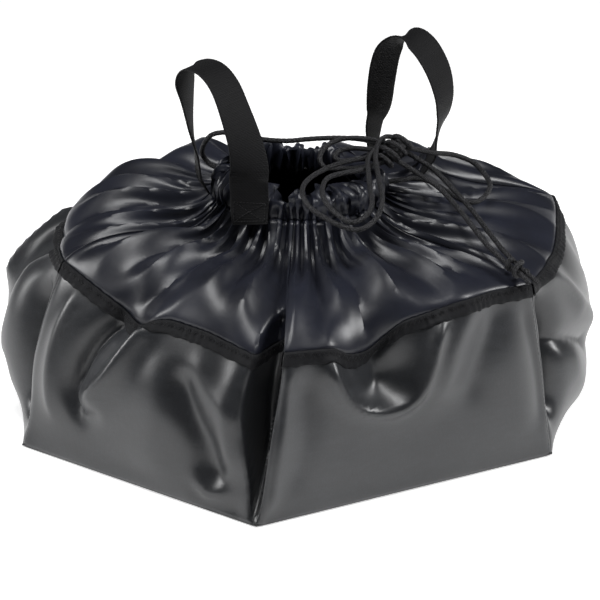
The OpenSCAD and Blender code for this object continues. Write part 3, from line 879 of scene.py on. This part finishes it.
def push_off(P):
    lo = R_TAPE + 1
    Q = P[lo:].reshape(-1, 3)
    for c, n, w, t in FEET:
        d = Q - c
        near = (np.abs(d @ w) < 22) & (np.abs(d @ t) < 2.4) & (np.abs(d @ n) < 16)
        s = d @ n
        hit = near & (s > -1.8)
        Q[hit] -= (s[hit] + 1.8)[:, None] * n
    box = ((Q > CORD_PTS.min(0) - 8) & (Q < CORD_PTS.max(0) + 8)).all(1)
    idx = np.where(box)[0]
    if len(idx):
        S = Q[idx]
        best = np.full(len(S), 1e9)
        arg = np.zeros(len(S), int)
        for k0 in range(0, len(CORD_PTS), 60):
            dd = ((S[:, None] - CORD_PTS[None, k0:k0 + 60]) ** 2).sum(-1)
            m = dd.min(1)
            better = m < best
            arg[better] = dd.argmin(1)[better] + k0
            best[better] = m[better]
        dist = np.sqrt(best)
        reach = CORD_D / 2 + 1.1
        hit = dist < reach
        away = unit(S[hit] - CORD_PTS[arg[hit]] - np.array([0, 0, 1.2]))
        Q[idx[hit]] = CORD_PTS[arg[hit]] + away * reach
    P[lo:] = Q.reshape(P[lo:].shape)
    return P


SHAPE = relax(INITIAL, 170, INITIAL)


def facet(P, amount):
    """Draw rounded folds out into flat facets that meet at sharp edges"""
    f = np.fft.rfft(P, axis=1)
    k = np.arange(f.shape[1])
    low = np.fft.irfft(f * np.exp(-(k / 15.0) ** 4)[None, :, None], COLS, axis=1)
    n = normals_of(low)
    h = ((P - low) * n).sum(-1)
    side = np.sign(np.fft.fftfreq(COLS))
    amp = np.abs(np.fft.ifft(np.fft.fft(h, axis=1) * (1 + side), axis=1))
    flat = 2 / np.pi * np.arcsin(np.clip(h / np.maximum(amp, 1e-6), -1, 1)) * amp * 1.22
    return P + n * ((flat - h) * amount[:, None])[..., None]


sharp = np.zeros(ROWS)
sharp[NW + 1:] = np.interp(vg, [0, 0.06, 0.95, 1.0], [0.0, 0.95, 0.95, 0.5])
# folds of thin taut nylon run straight from the neck to the binding
fold = SHAPE - MACRO
for _ in range(45):
    fold[NW + 1:R_NECK] += 0.5 * (0.5 * (fold[NW:R_NECK - 1] + fold[NW + 2:R_NECK + 1]) - fold[NW + 1:R_NECK])
SHAPE = MACRO + fold
SHAPE = facet(SHAPE, sharp)
# the free edge above the channel is crumpled
ring_out = unit((ring_pts(AN, 100.0, 0.0) - ring_pts(AN, 50.0, 0.0)))
crumple = [soft_noise((ROWS, COLS), 9, c, k) for c, k in ((15, 41), (11, 42), (6, 43))]
for r in range(R_CH + 1, ROWS):
    q = min(1.0, (r - R_CH) / NRUF)
    if r > R_TOP + NFOLD:
        q *= 1 - 0.6 * (r - R_TOP - NFOLD) / NIN
    SHAPE[r] += ring_out * ((4.5 * crumple[0][R_TOP] + 1.6 * crumple[2][r]) * q)[:, None]
    SHAPE[r, :, 2] += (3.6 * crumple[1][R_TOP] + 1.2 * np.roll(crumple[2][r], 31)) * q
SHAPE = push_off(SHAPE)

# Sharp creases that the even relaxing leaves too round: (panel, line, width, height)
SHARP_LINES = [
    (0, [(0.175, 1.0), (0.19, 0.83), (0.25, 0.68), (0.33, 0.585), (0.42, 0.55), (0.49, 0.60), (0.535, 0.74),
         (0.57, 0.88), (0.63, 1.0)], 4.5, 6.5),
    (0, [(0.36, 0.98), (0.365, 0.84), (0.38, 0.70)], 14, -8),
    (5, [(0.34, 1.0), (0.29, 0.87), (0.235, 0.66), (0.205, 0.47), (0.235, 0.36), (0.29, 0.31)], 5.0, -8),
    (5, [(0.49, 1.0), (0.44, 0.84), (0.37, 0.60), (0.29, 0.42)], 5.0, 6),
    (5, [(0.62, 0.80), (0.70, 0.56), (0.76, 0.38), (0.79, 0.18)], 8.0, -3),
    (5, [(0.74, 0.15), (0.80, 0.11), (0.86, 0.14)], 5.0, 2),
    (5, [(0.13, 0.98), (0.10, 0.7), (0.11, 0.4), (0.14, 0.2)], 7, 4),
    (1, [(0.03, 0.66), (0.14, 0.60), (0.28, 0.52), (0.44, 0.40)], 6, -6),
    (1, [(0.05, 0.92), (0.09, 0.75), (0.07, 0.5), (0.05, 0.2)], 6, -14),
    (1, [(0.10, 1.0), (0.24, 0.84), (0.34, 0.66)], 8, 3),
    (4, [(0.91, 0.9), (0.93, 0.5), (0.95, 0.12)], 6, -14), (4, [(0.55, 0.68), (0.3, 0.78), (0.05, 0.92)], 11, 4),
    (4, [(0.70, 0.95), (0.74, 0.6), (0.72, 0.3)], 7, 5),
    (2, [(0.2, 1.0), (0.26, 0.7), (0.22, 0.4)], 6, -6), (2, [(0.66, 1.0), (0.62, 0.75), (0.68, 0.45)], 6, -6),
    (3, [(0.34, 1.0), (0.37, 0.7), (0.45, 0.5)], 6, -6), (3, [(0.8, 1.0), (0.76, 0.7), (0.8, 0.35)], 6, -6),
]
wall_n = normals_of(MACRO)
for i, pts, w, h in SHARP_LINES:
    cols = np.where(PANEL == i)[0]
    q = respace(catmull(np.c_[np.array(pts, float) * [WID[i], HGT[i]], np.zeros(len(pts))], 8), 2.0)[:, :2]
    X, Y = np.meshgrid(UC[cols] * WID[i], wall_v * HGT[i])
    s = np.linspace(0, 1, len(q))
    end = smoothstep(s / 0.15) * smoothstep((1 - s) / 0.15)
    d = np.sqrt((X[..., None] - q[:, 0]) ** 2 + (Y[..., None] - q[:, 1]) ** 2 + 9.0) - 3.0
    add = h * (np.exp(-d / w) * end).max(-1)
    keep = smoothstep(UC[cols] / 0.03) * smoothstep((1 - UC[cols]) / 0.03)
    add *= keep[None] * (smoothstep(wall_v / 0.06) * smoothstep((1.02 - wall_v) / 0.08))[:, None]
    SHAPE[:NW + 1, cols] += wall_n[:NW + 1, cols] * add[..., None]

# The front left panel dives in behind the front corner, and the collar with it
cols = np.where(PANEL == 5)[0]
dive = np.array([-(base_c[0] - base_c[5])[1], (base_c[0] - base_c[5])[0], 0.0])
dive = dive / np.linalg.norm(dive)
if dive @ (base_c[0] + base_c[5]) > 0:
    dive = -dive
along5 = unit(base_c[0] - base_c[5])
gap = (1 - UC[cols]) * WID[5]
for r in range(1, R_NECK):
    v = r / NW if r <= NW else 1.0
    out_v = 1.0 if r <= NW else float(1 - smoothstep((r - NW) / (0.40 * NG)))
    depth = 62.0 * float(smoothstep(v / 0.30)) * (1 - 0.35 * v ** 4) * out_v
    width = (10 + 22 * float(smoothstep(v / 0.8))) * (1.0 if r <= NW else 0.6 + 0.4 * out_v)
    prof = np.where(gap < 4.0, gap / 4.0, 1 - smoothstep((gap - 0.38 * width) / (0.62 * width)))
    SHAPE[r, cols] += dive * (depth * prof)[:, None] - along5 * (0.52 * depth * prof)[:, None]
# flat round the eyelets, so that they sit on the channel
for a in EYELETS:
    da = np.abs(np.angle(np.exp(1j * (AN - math.radians(a))))) * (neck_r + 7)
    for r in range(R_NECK - 2, R_CH + 1):
        h = -9.6 + 18.6 * (r - R_NECK) / NOUT
        k = 1 - smoothstep(np.hypot(da, 0.8 * h) / 1.0, 7.5, 13.0)
        tgt = ring_pts(AN, neck_r + 6.7, h)
        SHAPE[r] += (tgt - SHAPE[r]) * k[:, None]
SHAPE_N = normals_of(SHAPE)
# ---------------------------------------------------------------- fabric pieces
WALLS = ["front_right", "right", "rear_right", "rear_left", "left", "front_left"]


def take(r0, r1, i, inset=0.0):
    cols = np.arange(i * NU, (i + 1) * NU + 1) % COLS
    return SHAPE[r0:r1 + 1][:, cols].copy(), SHAPE_N[r0:r1 + 1][:, cols].copy()


def area_mm2(P):
    a = np.cross(P[1:, :-1] - P[:-1, :-1], P[:-1, 1:] - P[:-1, :-1])
    b = np.cross(P[1:, :-1] - P[1:, 1:], P[:-1, 1:] - P[1:, 1:])
    return 0.5 * (np.linalg.norm(a, axis=-1).sum() + np.linalg.norm(b, axis=-1).sum())


def declare(ob, P):
    """Cut size of a panel: the longest row and column it needs, and its true area"""
    w = np.linalg.norm(np.diff(P, axis=1), axis=-1).sum(1).max()
    l = np.linalg.norm(np.diff(P, axis=0), axis=-1).sum(0).max()
    area = area_mm2(P) * 1e-6
    w, l = round(w * MM, 3), round(l * MM, 3)
    area = min(area, w * l)
    print("sheet", ob.name, w, l, round(area, 4))


def seam_edges(P, N, depth=1.3, span=3):
    """Turns the side edges of a panel in towards its seam"""
    n = P.shape[1]
    k = np.minimum(np.arange(n), n - 1 - np.arange(n))
    d = depth * np.clip(1 - k / span, 0, 1) ** 1.5
    return P - N * d[None, :, None]


for i, nm in enumerate(WALLS):
    P, N = take(0, R_TAPE, i)
    P2 = seam_edges(P, N)
    P2[..., 2] = np.maximum(P2[..., 2], 0.8)
    ob = mesh_object("panel_" + nm, P2.reshape(-1, 3), grid_faces(*P.shape[:2]), M_TARP)
    thicken(ob, 0.9)
    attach(ob, "root")
    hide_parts("wall_" + nm)
    declare(ob, P2)
    P, N = take(R_TAPE, R_NECK, i)
    P2 = seam_edges(P, N, 1.0, 2)
    ob = mesh_object("gore_" + nm, P2.reshape(-1, 3), grid_faces(*P.shape[:2]), M_NYLON)
    ob.data.set_sharp_from_angle(angle=math.radians(30))
    thicken(ob, 0.35)
    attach(ob, "root")
    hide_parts("collar_" + nm)
    declare(ob, P2)

# the gathered casing and ruffle, one closed band
P = SHAPE[R_NECK:]
casing = mesh_object("neck_casing", P.reshape(-1, 3), grid_faces(P.shape[0], COLS, closed=True), M_NYLON)
casing.data.set_sharp_from_angle(angle=math.radians(34))
thicken(casing, 0.35)
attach(casing, "root")
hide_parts("cord_channel", "neck_ruffle")
Pc = np.concatenate([P, P[:, :1]], 1)
declare(casing, Pc)

# base
edge = SHAPE[0].copy()
rings = [edge * [1, 1, 0] + [0, 0, 1.2]]
cen = edge.mean(0)
for q, z in ((0.995, 0.5), (0.985, 0.35), (0.9, 0.35), (0.6, 0.35), (0.3, 0.35), (0.06, 0.35)):
    rings.append((cen + (edge - cen) * q) * [1, 1, 0] + [0, 0, z])
rings = np.array(rings)
f = [tuple(x) for x in grid_faces(len(rings), COLS, closed=True, flip=False)]
f = [x[::-1] for x in f]
f.append(tuple(range((len(rings) - 1) * COLS, len(rings) * COLS))[::-1])
base = mesh_object("floor_panel", rings.reshape(-1, 3), f, M_TARP)
thicken(base, 0.9, -1.0)
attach(base, "root")
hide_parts("base_panel")
x, y = edge[:, 0], edge[:, 1]


def thread_run(points, radius=0.32, sides=5):
    """A thread through points: verts and faces"""
    p = np.asarray(points, float)
    t, s = frames_along(p)
    b = np.cross(t, s)
    th = np.linspace(0, 2 * np.pi, sides, endpoint=False)
    v = p[:, None] + radius * (s[:, None] * np.cos(th)[None, :, None] + b[:, None] * np.sin(th)[None, :, None])
    f = [tuple(x) for x in grid_faces(len(p), sides, closed=True, flip=True)]
    f += [tuple(range(sides)), tuple(range((len(p) - 1) * sides, len(p) * sides))[::-1]]
    return v.reshape(-1, 3), f


def merged(parts):
    V, F, n = [], [], 0
    for v, f in parts:
        V.append(v)
        F += [tuple(k + n for k in x) for x in f]
        n += len(v)
    return np.concatenate(V), F


# binding tape, folded over the joint of wall and collar
TAPE_W = 12.0
for i, nm in enumerate(WALLS):
    n_s = 300
    g = np.random.default_rng(70 + i)
    cols = np.arange(i * NU, (i + 1) * NU + 1) % COLS
    # lines on the cloth at the binding's lower edge, its middle and just over the seam
    wall_rows = SHAPE[:R_TAPE + 1][:, cols]
    hgt = np.concatenate([[np.zeros(NU + 1)], np.cumsum(np.linalg.norm(np.diff(wall_rows, axis=0), axis=-1), axis=0)])
    down = hgt[-1] - hgt

    def on_wall(dist):
        return np.stack([[np.interp(-dist, -down[:, c], wall_rows[:, c, k]) for k in range(3)]
                         for c in range(NU + 1)])

    def n_wall(dist):
        nr = SHAPE_N[:R_TAPE + 1][:, cols]
        return unit(np.stack([[np.interp(-dist, -down[:, c], nr[:, c, k]) for k in range(3)]
                              for c in range(NU + 1)]))
    top, topn = SHAPE[R_TAPE, cols], SHAPE_N[R_TAPE, cols]
    up1 = SHAPE[R_TAPE + 1, cols]
    prof = []
    for dist, lift in ((TAPE_W, 0.25), (TAPE_W - 0.3, 1.15), (TAPE_W * 0.75, 1.45), (TAPE_W * 0.5, 1.3),
                       (TAPE_W * 0.25, 1.45), (1.0, 1.6), (0.0, 1.5)):
        prof.append(on_wall(dist) + n_wall(dist) * lift)
    prof.append(top + topn * 1.2 + unit(up1 - top) * 1.6)
    prof.append(top + topn * 0.2 + unit(up1 - top) * 2.0)
    prof = np.array(prof)
    s = np.concatenate([[0], np.cumsum(np.linalg.norm(np.diff(top, axis=0), axis=1))])
    tq = np.linspace(1.0, s[-1] - 1.0, n_s)
    fine = np.stack([[np.interp(tq, s, prof[r, :, k]) for k in range(3)] for r in range(len(prof))]).transpose(0, 2, 1)
    tn = np.gradient(fine, axis=1)
    nn = unit(np.cross(tn, np.gradient(fine, axis=0)))
    # stitching draws the binding into small uneven puckers
    ph = np.cumsum(2 * np.pi * (tq[1] - tq[0]) / np.interp(tq, np.linspace(0, s[-1], 24), g.uniform(6.5, 15, 24)))
    pucker = np.sin(ph) * np.interp(tq, np.linspace(0, s[-1], 19), g.uniform(0.25, 1.0, 19))
    across = np.array([0.4, 0.6, 1.0, 0.5, 1.0, 0.8, 0.7, 0.5, 0.2])[:, None]
    fine = fine + nn * (pucker[None] * across * 0.75)[..., None]
    fine[:2, :, 2] += (0.5 * np.sin(ph * 0.5 + 1))[None]
    uv = np.stack(np.broadcast_arrays(tq[None] * MM, np.linspace(0, 0.014, len(prof))[:, None]), -1)
    # close the strip into a thin body
    ob = mesh_object("binding_" + nm, fine.reshape(-1, 3), grid_faces(len(prof), n_s), M_TAPE, uv=uv.reshape(-1, 2))
    thicken(ob, 0.6, -1.0)
    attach(ob, "root")
    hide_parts("tape_" + nm)
    declare(ob, fine)
    # zigzag stitching
    L = tq[-1] - tq[0]
    m = int(L / 2.1)
    parts = []
    z = np.arange(m)
    x = np.interp((z + 0.5) / m * (n_s - 1), np.arange(n_s), np.arange(n_s))
    row_hi, row_lo = 5.1, 3.4
    rr = np.where(z % 2 == 0, row_hi, row_lo)
    r0 = np.floor(rr).astype(int)
    fr = (rr - r0)[:, None]
    x0 = np.clip(np.floor(x).astype(int), 0, n_s - 2)
    fx = (x - x0)[:, None]
    A = fine[r0, x0] * (1 - fx) + fine[r0, x0 + 1] * fx
    B = fine[np.minimum(r0 + 1, len(prof) - 1), x0] * (1 - fx) + fine[np.minimum(r0 + 1, len(prof) - 1), x0 + 1] * fx
    pos = A * (1 - fr) + B * fr + nn[r0, x0] * 0.22
    v, f = thread_run(pos, 0.27, 5)
    th = mesh_object("stitching_" + nm, v, f, M_THREAD)
    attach(th, "root")

# corner seams of the walls: a turned edge with a row of small stitches
for i, nm in enumerate(WALLS):
    c = (i * NU) % COLS
    line = respace(SHAPE[1:R_TAPE, c] + SHAPE_N[1:R_TAPE, c] * -0.4, 1.2)
    nrm = unit(np.stack([np.interp(np.linspace(0, 1, len(line)), np.linspace(0, 1, R_TAPE - 1),
                                   SHAPE_N[1:R_TAPE, c, k]) for k in range(3)], -1))
    side = unit(np.cross(nrm, unit(np.gradient(line, axis=0))))
    parts = []
    for sgn in (-1, 1):
        off = line + side * sgn * 3.6 + nrm * 0.55
        for k in range(2, len(off) - 4, 4):
            parts.append(thread_run([off[k], off[k + 1] + nrm[k] * 0.12, off[k + 2]], 0.24, 5))
    # stitches sit on the cloth, so they are laid on its nearest points
    v, f = merged(parts)
    cols = (np.arange(c - 4, c + 5)) % COLS
    S = SHAPE[:R_TAPE + 1][:, cols].reshape(-1, 3)
    Sn = SHAPE_N[:R_TAPE + 1][:, cols].reshape(-1, 3)
    near = ((v[:, None] - S[None]) ** 2).sum(-1).argmin(1)
    h = ((v - S[near]) * Sn[near]).sum(-1)
    want = np.clip(h, 0.0, 0.45)
    v = v + Sn[near] * (want - h)[:, None]
    th = mesh_object("corner_stitching_" + nm, v, f, M_THREAD)
    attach(th, "root")

# ---------------------------------------------------------------- handles
for side, (pts, tan, wid, nor, t) in STRAPS.items():
    half, th = WEB_W / 2, WEB_T / 2
    xs = np.concatenate([np.linspace(-half + 0.8, half - 0.8, 20), [half - 0.2, half, half - 0.2],
                         np.linspace(half - 0.8, -half + 0.8, 20), [-half + 0.2, -half, -half + 0.2]])
    zs = np.concatenate([np.full(20, th), [th * 0.75, 0, -th * 0.75], np.full(20, -th), [-th * 0.75, 0, th * 0.75]])
    rib = 0.10 * np.sin(2 * np.pi * t / 1.75)
    twill = 0.07 * np.sin(2 * np.pi * (t[:, None] / 3.5 + xs[None] / 4.2))
    sag = 1.0 - 0.02 * np.cos(2 * np.pi * t / t[-1])
    z = zs[None] * (1 + 0 * t[:, None]) + np.sign(zs)[None] * (rib[:, None] + twill)
    v = (pts[:, None] + wid[:, None] * (xs[None, :, None] * sag[:, None, None]) + nor[:, None] * z[..., None])
    n = len(xs)
    f = [tuple(q) for q in grid_faces(len(pts), n, closed=True, flip=True)]
    f += [tuple(range(n)), tuple(range((len(pts) - 1) * n, len(pts) * n))[::-1]]
    uv = np.stack(np.broadcast_arrays(xs[None] * MM, t[:, None] * MM), -1).reshape(-1, 2)
    ob = mesh_object("handle_" + side, v.reshape(-1, 3), f, M_WEB, uv=uv)
    k = int(np.argmin(np.abs(pts[: len(pts) // 2, 2] - 254)))
    a = pts[k]
    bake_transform(ob)
    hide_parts("handle_%s_ends" % side, "handle_%s_loop" % side)
    print("strap", side, round(t[-1]))
    # box stitching where each end is sewn down
    parts = []
    for lo in (True, False):
        idx = np.where((pts[:, 2] < 243.0) & ((np.arange(len(pts)) < len(pts) // 2) == lo))[0]
        i0, i1 = idx[0], idx[-1]
        ids = (i0 + 8, i1 - 2) if lo else (i0 + 2, i1 - 8)
        out = 1.0 if nor[i0] @ (pts[i0] - np.array([neck_c[0], neck_c[1], pts[i0][2]])) > 0 else -1.0

        def at(k, x):
            k = int(round(k))
            return pts[k] + wid[k] * x + nor[k] * out * (th + 0.25)
        w = half - 3.5
        corners = [(ids[0], -w), (ids[0], w), (ids[1], w), (ids[1], -w), (ids[0], -w), (ids[1], w)]
        corners2 = [(ids[0], w), (ids[1], -w)]
        for chain in (corners, corners2):
            for (k0, x0), (k1, x1) in zip(chain[:-1], chain[1:]):
                length = np.linalg.norm(at(k1, x1) - at(k0, x0))
                m = max(2, int(length / 3.0))
                for q in range(m):
                    q0, q1 = (q + 0.12) / m, (q + 0.88) / m
                    p0 = at(k0 + (k1 - k0) * q0, x0 + (x1 - x0) * q0)
                    p1 = at(k0 + (k1 - k0) * q1, x0 + (x1 - x0) * q1)
                    mid = 0.5 * (p0 + p1) + nor[i0] * out * 0.18
                    parts.append(thread_run([p0, mid, p1], 0.3, 5))
    v, f = merged(parts)
    th_ob = mesh_object("handle_%s_stitching" % side, v, f, M_THREAD)
    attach(th_ob, "root")

# carried-over pieces
for nm, mat in (("eyelet_left", M_METAL), ("eyelet_right", M_METAL), ("draw_cord", M_CORD)):
    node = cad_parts[nm]
    for s in node.material_slots:
        s.material = mat
# ---------------------------------------------------------------- floor and light
def stage():
    me = bpy.data.meshes.new("floor")
    me.from_pydata([(-6, -6, 0), (6, -6, 0), (6, 6, 0), (-6, 6, 0)], [], [(0, 1, 2, 3)])
    ob = bpy.data.objects.new("floor", me)
    bpy.context.scene.collection.objects.link(ob)
    m = bpy.data.materials.new("floor")
    m.use_nodes = True
    b = m.node_tree.nodes["Principled BSDF"]
    b.inputs["Base Color"].default_value = (0.92, 0.92, 0.92, 1)
    b.inputs["Roughness"].default_value = 0.9
    b.inputs["Specular IOR Level"].default_value = 0.1
    b.inputs["Emission Color"].default_value = (1, 1, 1, 1)
    b.inputs["Emission Strength"].default_value = 0.5
    me.materials.append(m)
    ob.location.z = -0.0005


def area(name, loc, target, size, watts, color=(1, 1, 1)):
    d = bpy.data.lights.new(name, "AREA")
    d.shape = "RECTANGLE"
    d.size, d.size_y = size
    d.energy = watts
    d.color = color
    ob = bpy.data.objects.new(name, d)
    v = Vector(target) - Vector(loc)
    ob.rotation_euler = v.to_track_quat("-Z", "Y").to_euler()
    ob.location = loc
    bpy.context.scene.collection.objects.link(ob)


stage()
area("top_soft", (-0.2, -0.35, 2.0), (0, 0, 0.1), (1.2, 0.35), 24)
area("key_left", (-1.9, -0.25, 1.1), (0, 0, 0.12), (0.4, 1.1), 26)
area("fill_right", (1.8, -0.15, 1.5), (0, 0, 0.12), (0.4, 0.9), 34)
world = bpy.data.worlds.new("studio")
bpy.context.scene.world = world
world.use_nodes = True
wt = world.node_tree
bg = wt.nodes["Background"]
bg.inputs[0].default_value = (1.0, 1.0, 1.0, 1)
path = wt.nodes.new("ShaderNodeLightPath")
rng_w = wt.nodes.new("ShaderNodeMapRange")
rng_w.inputs["To Min"].default_value = 0.04
rng_w.inputs["To Max"].default_value = 1.0
wt.links.new(path.outputs["Is Camera Ray"], rng_w.inputs[0])
wt.links.new(rng_w.outputs[0], bg.inputs[1])
bpy.context.scene.view_settings.view_transform = "Standard"

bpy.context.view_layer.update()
